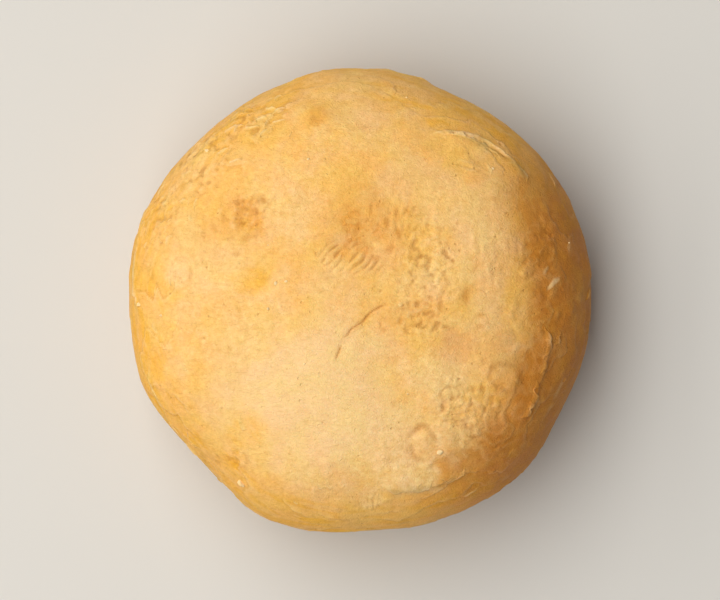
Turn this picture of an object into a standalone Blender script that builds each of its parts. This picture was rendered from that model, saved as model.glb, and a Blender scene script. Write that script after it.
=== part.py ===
"""Pine nut pastry: a small round filled pastry in a baked flaky crust, whole and uncut.

The crust closes all round, so the pastry is one solid. A ball of even quads is laid on the pastry's
turned profile, its outline is pushed in and out where hands shaped it, and the relief of the crust
follows: lifted edges of skin, blisters, ringed spots, wrinkles and a crack. The base is flat.

Metres, +Z up. The origin is the middle of the flat base. Seen from above, +X is to the right.
"""

import math
import random

import bmesh
import bpy
import numpy as np
from mathutils import Vector, noise

MM = 0.001

# Driving dimensions
WIDTH = 58.0 * MM
DEPTH = 58.0 * MM
HEIGHT = 28.0 * MM

# Profile, from the middle of the top to the middle of the base
RADIUS = WIDTH / 2
EQUATOR_HEIGHT = 12.3 * MM
TOP_RISE = HEIGHT - EQUATOR_HEIGHT
BASE_SQUASH = 1.5 * MM
BASE_DROP = EQUATOR_HEIGHT + BASE_SQUASH
SHOULDER_POWER = 2.7
HEEL_POWER = 2.7
PROFILE_STEPS = 720

# Where hands left the outline flat (-) or full (+): (direction in degrees, spread in degrees, push)
OUTLINE_PUSHES = (
    (40, 8, 0.20 * MM),
    (62, 12, -0.25 * MM),
    (103, 14, 0.50 * MM),
    (128, 9, -0.15 * MM),
    (158, 13, 0.55 * MM),
    (202, 8, 0.60 * MM),
    (221, 11, -0.80 * MM),
    (249, 10, 0.50 * MM),
    (270, 8, -0.35 * MM),
    (317, 7, 0.15 * MM),
    (333, 10, -0.50 * MM),
)

# Slow unevenness of hand-shaped dough: (wavelength, height). Its share at the upright side is kept
# small, so that the outline is the one set above.
DOUGH_WAVES = ((17.0 * MM, 0.50 * MM), (7.0 * MM, 0.20 * MM), (3.2 * MM, 0.07 * MM))
SIDE_SHARE = 0.20

# What belongs to the top alone fades out where the surface leans past this share of upright
TOP_FADE = 0.4

# Shallow dents of the top, where it lay on the baking tray: (x, y, radius, depth)
TOP_DENTS = (
    (-14.0 * MM, 10.5 * MM, 4.5 * MM, 0.30 * MM),
    (0.0 * MM, 8.5 * MM, 4.0 * MM, 0.25 * MM),
    (12.5 * MM, -6.0 * MM, 4.5 * MM, 0.28 * MM),
    (-13.0 * MM, 3.0 * MM, 3.5 * MM, 0.20 * MM),
    (5.0 * MM, -14.0 * MM, 5.0 * MM, 0.22 * MM),
)

# Spots with a low ring round them, where a bubble sank: (x, y, radius, height). The ring's crest and
# half its width are shares of the radius.
RING_CREST = 0.75
RING_HALF_WIDTH = 0.55
RINGED_SPOTS = (
    (-5.3 * MM, 22.8 * MM, 1.8 * MM, 0.14 * MM),
    (17.6 * MM, -9.0 * MM, 1.9 * MM, 0.20 * MM),
    (9.5 * MM, -17.2 * MM, 2.1 * MM, 0.20 * MM),
    (23.8 * MM, 3.0 * MM, 1.4 * MM, 0.18 * MM),
)

# Edges where the outer skin lifts: (first and last direction in degrees, how far down the profile
# from the middle of the top at each, lift). The skin rises towards the edge and drops just past it.
SKIN_EDGES = (
    (64, 34, 24.4 * MM, 27.6 * MM, 0.40 * MM),
    (-38, -8, 26.5 * MM, 24.6 * MM, 0.32 * MM),
    (-84, -58, 24.2 * MM, 25.8 * MM, 0.36 * MM),
    (152, 184, 33.5 * MM, 30.5 * MM, 0.36 * MM),
    (196, 226, 29.8 * MM, 33.0 * MM, 0.32 * MM),
    (118, 142, 31.0 * MM, 29.4 * MM, 0.30 * MM),
    (236, 272, 35.5 * MM, 33.4 * MM, 0.34 * MM),
    (292, 326, 34.0 * MM, 36.8 * MM, 0.36 * MM),
    (2, 33, 33.5 * MM, 35.2 * MM, 0.34 * MM),
    (70, 108, 36.2 * MM, 34.4 * MM, 0.36 * MM),
    (160, 196, 40.5 * MM, 42.2 * MM, 0.30 * MM),
    (318, 350, 43.0 * MM, 41.0 * MM, 0.30 * MM),
)
SKIN_REACH = 3.6 * MM
SKIN_STEP = 0.35 * MM
SKIN_RAGGED = 0.8 * MM
SKIN_RAGGED_LENGTH = 2.6 * MM
SKIN_END_FADE = 5.0

# Crack near the middle of the top: points (x, y), its depth and half its width, then the height of
# its raised lips, how far from the crack they stand and how wide they are
CRACK_PATH = (
    (3.1 * MM, 0.1 * MM),
    (2.1 * MM, -1.0 * MM),
    (0.7 * MM, -2.2 * MM),
    (-0.9 * MM, -3.6 * MM),
    (-2.1 * MM, -4.9 * MM),
    (-2.8 * MM, -6.9 * MM),
)
CRACK_DEPTH = 0.40 * MM
CRACK_HALF_WIDTH = 0.40 * MM
CRACK_LIP = 0.06 * MM
CRACK_LIP_PLACE = 0.8 * MM
CRACK_LIP_WIDTH = 0.5 * MM

# Fine parallel wrinkles beside it
WRINKLE_PLACE = (-2.4 * MM, 5.6 * MM)
WRINKLE_DIRECTION = math.radians(40)
WRINKLE_LENGTH = 3.2 * MM
WRINKLE_BAND = 2.0 * MM
WRINKLE_SPACING = 1.15 * MM
WRINKLE_HEIGHT = 0.10 * MM

# Blisters: many sit on the right and lower shoulder, the rest all round, and small ones are common
BLISTER_SEED = 7
SMALL_BLISTERS = 1.6
SHOULDER_BLISTERS = 34
SHOULDER_SECTOR = (-80, 22)
SHOULDER_BAND = (17.5 * MM, 29.0 * MM)
OTHER_BLISTERS = 46
OTHER_BAND = (20.0 * MM, 44.0 * MM)
BLISTER_RADIUS = (0.9 * MM, 2.1 * MM)
BLISTER_HEIGHT = (0.08 * MM, 0.24 * MM)

# Mesh: quads along each side of the ball's six faces, then the triangles that are kept
BALL_QUADS = 96
TRIANGLES = 11400

# Anything lower than this belongs to the flat base
BASE_TOLERANCE = 0.01 * MM

CRUST_COLOUR = (0.84, 0.56, 0.25, 1.0)
CRUST_ROUGHNESS = 0.72


def clear_scene():
    for obj in list(bpy.data.objects):
        bpy.data.objects.remove(obj, do_unlink=True)


def ball_of_quads(name):
    """A cube whose faces are divided evenly by angle and pushed out to a ball of radius 1."""
    ball = bmesh.new()
    bmesh.ops.create_cube(ball, size=2.0)
    bmesh.ops.subdivide_edges(ball, edges=ball.edges[:], cuts=BALL_QUADS - 1, use_grid_fill=True)
    for vertex in ball.verts:
        even = Vector(math.tan(side * math.pi / 4) for side in vertex.co)
        vertex.co = even.normalized()
    mesh = bpy.data.meshes.new(name)
    ball.to_mesh(mesh)
    ball.free()
    return mesh


def coordinates(mesh):
    values = np.empty(len(mesh.vertices) * 3, np.float32)
    mesh.vertices.foreach_get("co", values)
    return values.reshape(-1, 3).astype(float)


def set_coordinates(mesh, points):
    mesh.vertices.foreach_set("co", points.astype(np.float32).ravel())
    mesh.update()


def vertex_normals(mesh):
    values = np.empty(len(mesh.vertices) * 3, np.float32)
    mesh.vertex_normals.foreach_get("vector", values)
    return values.reshape(-1, 3).astype(float)


def profile():
    """Distances down the profile, and the radius and height at each, as three arrays."""
    lean = np.linspace(0.0, math.pi, PROFILE_STEPS + 1)
    across = np.clip(np.sin(lean), 0.0, None)
    up = np.cos(lean)
    power = np.where(up >= 0, SHOULDER_POWER, HEEL_POWER)
    half_height = np.where(up >= 0, TOP_RISE, BASE_DROP)
    reach = (across**power + np.abs(up) ** power) ** (-1 / power)
    radius = RADIUS * across * reach
    height = EQUATOR_HEIGHT + half_height * up * reach
    steps = np.hypot(np.diff(radius), np.diff(height))
    return np.concatenate([[0.0], np.cumsum(steps)]), radius, height


def around(angle, middle):
    """How far angle is from middle, both in degrees, the short way round."""
    return (angle - middle + 180.0) % 360.0 - 180.0


def fade(distance, reach):
    """1 at no distance, falling smoothly to 0 at reach."""
    share = np.clip(1.0 - np.abs(distance) / reach, 0.0, 1.0)
    return share * share * (3.0 - 2.0 * share)


def outline_push(angle):
    push = np.zeros_like(angle)
    for direction, spread, amount in OUTLINE_PUSHES:
        push += amount * np.exp(-0.5 * (around(angle, direction) / spread) ** 2)
    return push


def noise_at(points, wavelength):
    """Smooth noise from -1 to 1 at each point."""
    return np.array([noise.noise(Vector(point)) for point in points / wavelength])


def dough_waves(points):
    return sum(height * noise_at(points, length) for length, height in DOUGH_WAVES)


def top_dents(points, top):
    relief = np.zeros(len(points))
    for x, y, radius, depth in TOP_DENTS:
        distance = np.hypot(points[:, 0] - x, points[:, 1] - y)
        relief -= depth * fade(distance, radius)
    return relief * top


def ringed_spots(points, top):
    relief = np.zeros(len(points))
    for x, y, radius, height in RINGED_SPOTS:
        distance = np.hypot(points[:, 0] - x, points[:, 1] - y)
        relief += height * fade(distance - radius * RING_CREST, radius * RING_HALF_WIDTH)
    return relief * top


def skin_edges(points, angle, down):
    """Sheets of skin that rise towards a ragged edge and drop by one layer just past it."""
    ragged = SKIN_RAGGED * noise_at(points, SKIN_RAGGED_LENGTH)
    relief = np.zeros(len(points))
    for first, last, down_first, down_last, lift in SKIN_EDGES:
        middle = (first + last) / 2
        half_span = abs(last - first) / 2
        offset = around(angle, middle)
        along = np.clip(offset / (last - first) + 0.5, 0.0, 1.0)
        edge = down_first + (down_last - down_first) * along + ragged
        before = edge - down
        rise = np.exp(-np.clip(before, 0.0, None) / SKIN_REACH) * (before >= 0)
        drop = np.clip(1.0 + before / SKIN_STEP, 0.0, 1.0) * (before < 0)
        ends = np.clip((half_span - np.abs(offset)) / SKIN_END_FADE, 0.0, 1.0)
        relief += lift * (rise + drop) * ends
    return relief


def distance_to_path(points, path):
    """Distance, seen from above, from each point to a line through the path's points."""
    nearest = np.full(len(points), np.inf)
    for (x1, y1), (x2, y2) in zip(path, path[1:]):
        run = np.array([x2 - x1, y2 - y1])
        away = points[:, :2] - (x1, y1)
        along = np.clip(away @ run / (run @ run), 0.0, 1.0)
        nearest = np.minimum(nearest, np.hypot(*(away - along[:, None] * run).T))
    return nearest


def crack(points, top):
    distance = distance_to_path(points, CRACK_PATH)
    groove = CRACK_DEPTH * fade(distance, CRACK_HALF_WIDTH)
    lips = CRACK_LIP * fade(distance - CRACK_LIP_PLACE, CRACK_LIP_WIDTH)
    return (lips - groove) * top


def wrinkles(points, top):
    x = points[:, 0] - WRINKLE_PLACE[0]
    y = points[:, 1] - WRINKLE_PLACE[1]
    along = x * math.cos(WRINKLE_DIRECTION) + y * math.sin(WRINKLE_DIRECTION)
    across = y * math.cos(WRINKLE_DIRECTION) - x * math.sin(WRINKLE_DIRECTION)
    waves = np.cos(2 * math.pi * across / WRINKLE_SPACING)
    return WRINKLE_HEIGHT * waves * fade(along, WRINKLE_LENGTH) * fade(across, WRINKLE_BAND) * top


def blister_places():
    """(direction in degrees, distance down the profile, radius, height) of each blister."""
    draw = random.Random(BLISTER_SEED)
    places = []
    for count, sector, band in (
        (SHOULDER_BLISTERS, SHOULDER_SECTOR, SHOULDER_BAND),
        (OTHER_BLISTERS, (0, 360), OTHER_BAND),
    ):
        for _ in range(count):
            size = draw.random() ** SMALL_BLISTERS
            places.append((
                draw.uniform(*sector),
                draw.uniform(*band),
                BLISTER_RADIUS[0] + size * (BLISTER_RADIUS[1] - BLISTER_RADIUS[0]),
                draw.uniform(*BLISTER_HEIGHT),
            ))
    return places


def blisters(points, depths, radii, heights):
    """Low domes, each measured from its own place on the profile."""
    relief = np.zeros(len(points))
    for direction, down, radius, height in blister_places():
        turn = math.radians(direction)
        r = np.interp(down, depths, radii)
        centre = (r * math.cos(turn), r * math.sin(turn), np.interp(down, depths, heights))
        distance = np.linalg.norm(points - centre, axis=1)
        relief = np.maximum(relief, height * fade(distance, radius))
    return relief


def shape_pastry(mesh):
    """Lays the ball on the profile, then adds the outline, the relief and the flat base."""
    ball = coordinates(mesh)
    depths, radii, heights = profile()
    down = np.arccos(np.clip(ball[:, 2], -1.0, 1.0)) / math.pi * depths[-1]
    turn = np.arctan2(ball[:, 1], ball[:, 0])
    angle = np.degrees(turn)
    radius = np.interp(down, depths, radii)
    radius += outline_push(angle) * (radius / RADIUS) ** 2
    height = np.interp(down, depths, heights)
    points = np.column_stack([radius * np.cos(turn), radius * np.sin(turn), height])
    set_coordinates(mesh, points)

    normals = vertex_normals(mesh)
    top = np.clip(normals[:, 2] / TOP_FADE, 0.0, 1.0)
    side_share = SIDE_SHARE + (1 - SIDE_SHARE) * np.abs(normals[:, 2])
    relief = (
        dough_waves(points) * side_share
        + top_dents(points, top)
        + ringed_spots(points, top)
        + skin_edges(points, angle, down)
        + blisters(points, depths, radii, heights)
        + wrinkles(points, top)
        + crack(points, top)
    )
    points = points + normals * relief[:, None]
    points[:, 2] = np.maximum(points[:, 2], 0.0)
    set_coordinates(mesh, points)


def keep_triangles(obj):
    """Thins the mesh where it is plain, so that its relief keeps most of the triangles."""
    thin = obj.modifiers.new("thin", "DECIMATE")
    thin.ratio = TRIANGLES / (12 * BALL_QUADS**2)
    thin.use_collapse_triangulate = True
    graph = bpy.context.evaluated_depsgraph_get()
    thinned = bpy.data.meshes.new_from_object(obj.evaluated_get(graph))
    obj.modifiers.remove(thin)
    dense = obj.data
    obj.data = thinned
    bpy.data.meshes.remove(dense)


def fit_to_size(mesh):
    """Centres the pastry on its base and brings it to its driving dimensions, with the base flat."""
    points = coordinates(mesh)
    low, high = points.min(axis=0), points.max(axis=0)
    middle = np.array([(low[0] + high[0]) / 2, (low[1] + high[1]) / 2, low[2]])
    points = (points - middle) * np.array([WIDTH, DEPTH, HEIGHT]) / (high - low)
    points[points[:, 2] < BASE_TOLERANCE, 2] = 0.0
    set_coordinates(mesh, points)


def crust_material():
    material = bpy.data.materials.new("crust")
    material.use_nodes = True
    shader = material.node_tree.nodes["Principled BSDF"]
    shader.inputs["Base Color"].default_value = CRUST_COLOUR
    shader.inputs["Roughness"].default_value = CRUST_ROUGHNESS
    shader.inputs["Metallic"].default_value = 0.0
    return material


def make_pastry(collection):
    mesh = ball_of_quads("pastry")
    shape_pastry(mesh)
    pastry = bpy.data.objects.new("pastry", mesh)
    collection.objects.link(pastry)
    keep_triangles(pastry)
    fit_to_size(pastry.data)
    pastry.data.materials.append(crust_material())
    pastry.data.shade_smooth()
    return pastry


def main():
    clear_scene()
    collection = bpy.data.collections.new("pine_nut_pastry")
    bpy.context.scene.collection.children.link(collection)
    make_pastry(collection)


main()
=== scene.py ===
"""Looks of the pine nut pastry: baked crust, lifted skin, crumbs and a plain studio round them.

Laid out as an add-on and run as a script. The crust is a block of even quads, laid on the pastry's
turned profile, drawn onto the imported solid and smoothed, so its form is the solid's. Fine relief is
then shaped on it: cracks, wrinkles, blisters, pinholes, thin layers round the side and the pleated
seal underneath. Sheets of skin lift at torn edges, and crumbs lie on top.

Metres, +Z up. The origin is the middle of the flat base. Seen from above, +X is to the right.
"""

import math
import random

import bpy
import numpy as np
from mathutils import Euler, Matrix, Vector, noise
from mathutils.bvhtree import BVHTree


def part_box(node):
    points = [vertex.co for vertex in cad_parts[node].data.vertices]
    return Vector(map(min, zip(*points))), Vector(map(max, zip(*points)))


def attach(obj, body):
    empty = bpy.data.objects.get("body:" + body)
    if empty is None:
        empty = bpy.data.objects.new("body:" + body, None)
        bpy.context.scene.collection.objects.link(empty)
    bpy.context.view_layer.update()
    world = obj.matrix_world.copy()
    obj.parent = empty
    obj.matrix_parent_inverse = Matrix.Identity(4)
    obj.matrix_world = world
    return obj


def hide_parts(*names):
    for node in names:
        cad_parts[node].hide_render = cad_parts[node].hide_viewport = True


bl_info = {
    "name": "Pine Nut Pastry",
    "version": (1, 0, 0),
    "blender": (4, 5, 0),
    "location": "View3D > Sidebar > Pastry",
    "description": "Dresses a small round filled pastry in its baked crust",
    "category": "Mesh",
}

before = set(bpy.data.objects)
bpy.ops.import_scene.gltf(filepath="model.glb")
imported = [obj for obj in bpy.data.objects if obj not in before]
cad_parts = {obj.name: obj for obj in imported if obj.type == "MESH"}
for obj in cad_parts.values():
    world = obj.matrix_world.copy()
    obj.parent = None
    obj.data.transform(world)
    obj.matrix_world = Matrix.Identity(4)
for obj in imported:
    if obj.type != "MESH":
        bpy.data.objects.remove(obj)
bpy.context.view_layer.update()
SOLID_LOW, SOLID_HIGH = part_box("pastry")

MM = 0.001

# Where the random draws start
SEED = 23


def in_metres(columns, rows):
    """Rows that are written in millimetres, with the values in these columns, the lengths, in metres."""
    return [tuple(value * MM if at in columns else value for at, value in enumerate(row)) for row in rows]


# Profile of the solid, from the middle of the top to the middle of the base
RADIUS = (SOLID_HIGH.x - SOLID_LOW.x) / 2
EQUATOR_HEIGHT = 12.3 * MM
TOP_RISE = SOLID_HIGH.z - EQUATOR_HEIGHT
BASE_DROP = EQUATOR_HEIGHT + 1.5 * MM
PROFILE_POWER = 2.7
PROFILE_STEPS = 720

# How closely the quads lie, relative to each other, at these heights: base, heel, side, shoulder, top
DENSITY_HEIGHTS = (0.0, 3.0 * MM, 12.0 * MM, 21.0 * MM, 27.0 * MM)
DENSITIES = (0.45, 0.7, 0.95, 1.4, 1.6)

# The tables below are in millimetres. A zone is (x, y, half width, half depth, strength), and a mark is
# (x, y, direction in degrees, half length, half width, strength). These are the columns of lengths.
POINT = range(3)
ZONE = range(4)
MARK = (0, 1, 3, 4)

# Torn edges of the outer skin, the same as in the solid: (first and last direction in degrees, how far
# down the profile at each, lift)
SKIN_EDGES = in_metres((2, 3, 4), (
    (64, 34, 24.4, 27.6, 0.4),
    (-38, -8, 26.5, 24.6, 0.32),
    (-84, -58, 24.2, 25.8, 0.36),
    (152, 184, 33.5, 30.5, 0.36),
    (196, 226, 29.8, 33, 0.32),
    (118, 142, 31, 29.4, 0.3),
    (236, 272, 35.5, 33.4, 0.34),
    (292, 326, 34, 36.8, 0.36),
    (2, 33, 33.5, 35.2, 0.34),
    (70, 108, 36.2, 34.4, 0.36),
    (160, 196, 40.5, 42.2, 0.3),
    (318, 350, 43, 41, 0.3),
))
TALLEST_LIFT = 0.40 * MM
SKIN_RAGGED = 0.8 * MM
SKIN_RAGGED_LENGTH = 2.6 * MM
SKIN_END_FADE = 5.0
SKIN_SHARPENING = 0.32
SKIN_STEP = 0.22 * MM
SKIN_RISE = 1.5 * MM

# How many rows of faces a lifted sheet has, and how far apart its columns are
SHEET_ROWS = 8
SHEET_SPACING = 0.24 * MM

# Thin layers of dough that end in ledges: where down the profile they close up, and how far apart there
LEDGE_START = 18.0 * MM
LEDGE_SPACING = 4.2 * MM

# Heights and depths of the fine relief that no setting gives
SWIRL_HEIGHT = 0.026 * MM
BUBBLE_HEIGHT = 0.085 * MM
PIT_DEPTH = 0.100 * MM
DOME_HEIGHT = 0.09 * MM
CREASE_DEPTH = 0.05 * MM
DARK_MARK_DEPTH = 0.07 * MM
PALE_MARK_HEIGHT = 0.09 * MM
LIP_HEIGHT = 0.34 * MM

# Small low blisters, and how many of them are on the right and lower shoulder
BLISTERS = 260
SHOULDER_BLISTERS = 110

# Pinholes, how many of them are in bubbly zones, and in how many of those
PINHOLES = 130
BUBBLY_PINHOLES = 80
PINHOLE_ZONES = 4

# Different crumbs that are copied
CRUMB_MODELS = 5

# The photograph's size in pixels, and the width of the camera's sensor in millimetres
PICTURE_WIDTH, PICTURE_HEIGHT = 720, 600
SENSOR_WIDTH = 36.0

# Cracks near the middle of the top, sharper than in the solid: (path, half width)
CRACKS = (
    (in_metres(POINT, (
        (3.9, -0.3), (2.4, -0.9), (1.1, -1.6), (0.2, -2.7), (-1.0, -3.5), (-1.9, -4.6), (-2.4, -5.4),
    )), 0.20 * MM),
    (in_metres(POINT, ((-2.3, -5.4), (-2.6, -6.3), (-3.1, -7.4))), 0.16 * MM),
)

# Fine parallel wrinkles: (x, y, direction in degrees, half length, half band, spacing, height)
WRINKLES = in_metres((0, 1, 3, 4, 5, 6), (
    (-2.5, 5.2, 43, 3, 4.4, 0.84, 0.096),
    (0.9, 5, 45, 2.6, 4, 0.82, 0.085),
    (16.2, 6.4, 88, 1.8, 5, 0.92, 0.045),
    (12.9, 16.8, -12, 3.4, 1.9, 0.85, 0.05),
    (-22.4, 3.2, 84, 3.6, 2.2, 0.95, 0.05),
    (1.4, -24.4, 88, 2.8, 1.9, 0.8, 0.05),
    (5, 10, 78, 7, 5.5, 1.00, 0.045),
    (-10, 16.5, 96, 3.6, 3, 1.1, 0.03),
    (15, 4.5, 84, 9, 5, 1.25, 0.04),
))

# Zones of fine bubbles and pits
BUBBLY_ZONES = in_metres(ZONE, (
    (7.4, -2.2, 5.4, 4, 1),
    (8.6, 4.6, 5.4, 7.4, 0.95),
    (-13.7, 10.4, 4, 3.8, 0.9),
    (13.2, -13.6, 6, 5.2, 0.8),
    (-16.6, -20, 3.8, 3.2, 0.6),
    (-20, 17.5, 6, 6, 1),
    (-14.5, 22.5, 5, 4, 0.8),
    (-24.5, 11, 3, 6, 0.8),
    (22, 5, 4, 7, 0.6),
))

# Zones of soft ridges that swirl along the rim
SWIRLED_ZONES = in_metres(ZONE, (
    (14.5, -14, 9.5, 9.5, 1),
    (19.5, -4, 4, 7, 0.6),
    (-22, 8, 3.5, 9, 0.5),
))

# Toasted patches, as zones. The rows near the rim on the right are partly toasting and partly painted shade.
TOASTED_AND_SHADED = in_metres(ZONE, (
    (0.8, 9.2, 8.6, 7.6, 0.5),
    (0.6, 8.6, 5.2, 5.6, 0.66),
    (-0.4, 9, 3.6, 3.2, 0.86),
    (6.6, -1.6, 6, 3.8, 0.38),
    (12.6, -5.8, 5.2, 3.6, 0.42),
    (16.4, -7, 4.6, 5.6, 0.42),
    (9, 0.5, 8, 7.5, 0.08),
    (-15, 9.6, 5.4, 4.4, 0.36),
    (-13.8, 10.2, 3.2, 4.4, 0.64),
    (-5.3, 22.8, 2.2, 2, 0.5),
    (20.5, 5, 6, 9, 0.3),
    (18.1, -9.5, 2.2, 2.2, 0.4),
    (18.4, -11.5, 5, 6.5, 0.44),
    (7.7, -17.6, 2.4, 2.4, 0.2),
    (23.4, 7, 2.6, 5.5, 0.9),
    (24.8, -3, 2.5, 6, 0.6),
    (21.4, -11, 4.4, 6.5, 0.78),
    (21.6, -16, 5, 5.5, 0.92),
    (19, -19.4, 4.6, 4, 0.74),
    (-19, -3, 3.5, 6, 0.16),
    (-18.6, 7.4, 3.8, 5.2, 0.28),
    (7, 15, 6, 4, 0.16),
    (18.5, 12, 6, 7, 0.24),
))

# Direction, in degrees, in which the side is browned most and darkened with painted shade, away from the key
# light
BROWNED_AND_SHADED_SIDE = -14.0

# Small dark dots and strokes, as marks
DARK_MARKS = in_metres(MARK, (
    (1.4, 11.2, 80, 0.9, 0.36, 0.7),
    (4.8, 8.1, 108, 1, 0.4, 0.95),
    (-0.4, 8.6, 60, 1, 0.55, 0.7),
    (2.2, 5.2, 30, 0.7, 0.42, 0.6),
    (3.7, 6.3, 90, 0.9, 0.5, 0.6),
    (-0.1, 6.9, 25, 1, 0.3, 0.6),
    (3.3, 9.6, 85, 0.8, 0.35, 0.5),
    (6, 10.9, 90, 0.5, 0.42, 0.55),
    (-3.4, 11.4, 80, 0.8, 0.45, 0.4),
    (5, -2.6, 20, 0.6, 0.45, 0.8),
    (5.3, -0.9, 100, 0.6, 0.38, 0.7),
    (3, -3.7, 90, 0.5, 0.38, 0.6),
    (8.2, -0.5, 0, 0.5, 0.42, 0.6),
    (6.6, -3.2, 10, 0.8, 0.34, 0.6),
    (9.7, -1.7, 60, 0.6, 0.4, 0.55),
    (7.3, -1.9, 90, 0.45, 0.35, 0.5),
    (8.2, 9.2, 70, 0.5, 0.38, 0.5),
    (9.9, 8.6, 90, 0.5, 0.4, 0.6),
    (7.4, 5.3, 30, 0.5, 0.36, 0.5),
    (7.6, 4.2, 0, 0.5, 0.36, 0.5),
    (10.3, 3.2, 95, 0.6, 0.42, 0.7),
    (13.2, 0.7, 84, 1.4, 0.6, 0.9),
    (14.9, -1.9, 0, 0.5, 0.45, 0.55),
    (14.9, -3.3, 0, 0.5, 0.45, 0.6),
    (14.4, 4.2, 85, 0.9, 0.4, 0.45),
    (-14.7, 11.2, 100, 1, 0.6, 0.5),
    (-15, 9.6, 95, 1.2, 0.5, 0.5),
    (-13.3, 11.4, 120, 0.9, 0.5, 0.35),
    (-12, 12.5, 95, 0.8, 0.45, 0.6),
    (-11.4, 11.6, 60, 0.6, 0.42, 0.45),
    (-14, 7.6, 15, 0.9, 0.45, 0.6),
    (-16.7, 10, 90, 0.6, 0.52, 0.65),
    (-18, 8.9, 130, 0.8, 0.45, 0.55),
    (-15.3, 5.7, 5, 0.7, 0.4, 0.5),
    (-12.7, 8.2, 60, 1, 0.6, 0.45),
    (-19.3, 8.1, 90, 0.7, 0.4, 0.45),
    (-9.6, 10.7, 0, 0.5, 0.4, 0.45),
    (10.3, -13.4, 100, 0.7, 0.45, 0.6),
    (7.4, -15.7, 10, 0.8, 0.42, 0.6),
    (12.9, -15.6, 0, 0.6, 0.42, 0.55),
    (14.1, -16.7, 5, 0.7, 0.42, 0.55),
    (4.1, -12.9, 90, 0.7, 0.4, 0.35),
    (15.1, -10.9, 10, 0.6, 0.4, 0.55),
    (16.9, -11.4, 20, 0.7, 0.42, 0.6),
    (-21, 3.2, 84, 1.1, 0.4, 0.5),
    (-6.6, -15, 0, 0.5, 0.42, 0.35),
    (-4.6, -15, 0, 0.5, 0.42, 0.35),
    (0.4, 21.3, 5, 0.9, 0.42, 0.5),
    (-5.8, 22.4, 0, 0.7, 0.5, 0.6),
    (23.4, 9.2, 80, 2.2, 0.7, 0.62),
    (22.8, 5.2, 95, 2.2, 0.7, 0.66),
    (24.6, 5.8, 90, 1.6, 0.6, 0.5),
    (21.2, -6.4, 60, 0.9, 0.55, 0.5),
    (24.9, -2.2, 75, 1.6, 0.55, 0.6),
    (20, -13.2, 45, 1.3, 0.5, 0.5),
    (21.6, 3.2, 80, 1, 0.4, 0.45),
))

# Small pale raised strokes, as marks
PALE_MARKS = in_metres(MARK, (
    (23.9, 2.1, 47, 1.6, 0.42, 0.8),
    (22.9, 3.6, 60, 0.9, 0.4, 0.7),
    (24.7, -11, 62, 2.2, 0.4, 0.5),
    (5, -0.6, 0, 0.4, 0.36, 0.9),
    (-8.4, 13.3, 20, 1, 0.8, 0.5),
    (6.6, 7.6, 80, 0.6, 0.4, 0.5),
    (9.2, 10.2, 40, 0.5, 0.4, 0.6),
    (-17.3, 10.9, 60, 0.9, 0.45, 0.5),
    (-15.8, 9.1, 120, 1, 0.4, 0.5),
    (8.8, -19.9, 60, 1.3, 0.45, 0.6),
    (9.7, -17.2, 100, 1.6, 0.5, 0.6),
    (23.6, -13.2, 55, 1.2, 0.35, 0.4),
    (25.9, 6.6, 85, 1.3, 0.35, 0.5),
    (20.2, 21.4, 135, 1, 0.4, 0.6),
    (13.4, 16.2, 170, 1.6, 0.24, 0.5),
    (13, 17.1, 172, 1.8, 0.24, 0.5),
))

# The long pale lip at the upper right, a low ridge whose pale colour is partly dry skin and partly a painted
# highlight of the lifted edge
PALE_LIP = in_metres(POINT, (
    (8.2, 20.4), (10.4, 20.8), (12.6, 20.6), (14.8, 19.9), (16.8, 18.9), (18.4, 17.7), (19.6, 16.4),
))

# Blisters with a crease round them, darkened with painted shade: (x, y, radius)
RINGED_SPOTS = in_metres(POINT, (
    (18.1, -9.5, 1.9),
    (7.7, -17.6, 1.9),
    (11.2, -11.6, 1),
    (14.2, -15.6, 1.3),
))

# Oily golden patches, as zones
OILY = in_metres(ZONE, (
    (-13.8, 10.2, 3.4, 4.6, 0.8),
    (-13.3, 2.7, 4.4, 3.4, 0.8),
    (-22.5, -14.5, 3.4, 5, 0.55),
    (-14, -16.2, 4, 3.4, 0.65),
    (-11.1, -25.4, 5, 2.2, 0.6),
    (-16.4, -20.2, 3.4, 3.2, 0.85),
    (5.2, -27.3, 3.4, 1.8, 0.6),
    (10.1, -25.5, 4, 2.2, 0.55),
    (4.3, 25.2, 6.5, 3.4, 0.85),
    (10.5, 23.4, 6.5, 3.4, 0.72),
    (-16, 22, 7, 4, 0.25),
    (3.2, 2.6, 4.6, 3.4, 0.42),
))

# Dry papery patches, as zones
DRY = in_metres(ZONE, (
    (5.8, -21.6, 5.8, 3.4, 0.78),
    (17, 12.6, 3, 4.4, 0.35),
    (-22.4, 3.2, 2.4, 3.4, 0.45),
    (-22.5, 18, 6.5, 6.5, 0.32),
    (1.4, -24.4, 2, 3, 0.45),
    (10, -17, 6, 5, 0.45),
    (-8, -8.5, 15, 11.5, 0.38),
    (-9, 11, 8, 7, 0.34),
    (-18, 3, 7, 7, 0.28),
    (-15.5, -4.5, 9, 7, 0.4),
    (15, 9, 6, 5, 0.34),
    (2, -17.5, 12, 7, 0.56),
    (8.8, -9.2, 5.6, 5, 0.56),
    (10.2, 4.2, 4.2, 5, 0.42),
    (0, 26.4, 12, 3.6, 0.34),
    (-8.5, -19.5, 6.5, 4.4, 0.34),
))

# The smooth cream region of the top
CREAM_REGION = in_metres(ZONE, ((-6.0, -11.5, 17.0, 12.5, 1.0),))

# Whole crumbs and flakes that stand out: (x, y, size)
NAMED_CRUMBS = in_metres(POINT, (
    (-14.7, -22.7, 0.5),
    (9.9, -18.8, 0.36),
    (-27.4, -0.6, 0.34),
))


# Settings that a user would change


def length_setting(name, description, default):
    return bpy.props.FloatProperty(
        name=name, description=description, default=default * MM, unit="LENGTH", precision=5)


def count_setting(name, description, default, low, high):
    return bpy.props.IntProperty(name=name, description=description, default=default, min=low, max=high)


def colour_setting(name, description, default):
    return bpy.props.FloatVectorProperty(
        name=name, description=description, default=default, subtype="COLOR", size=3, min=0.0, max=1.0)


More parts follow.
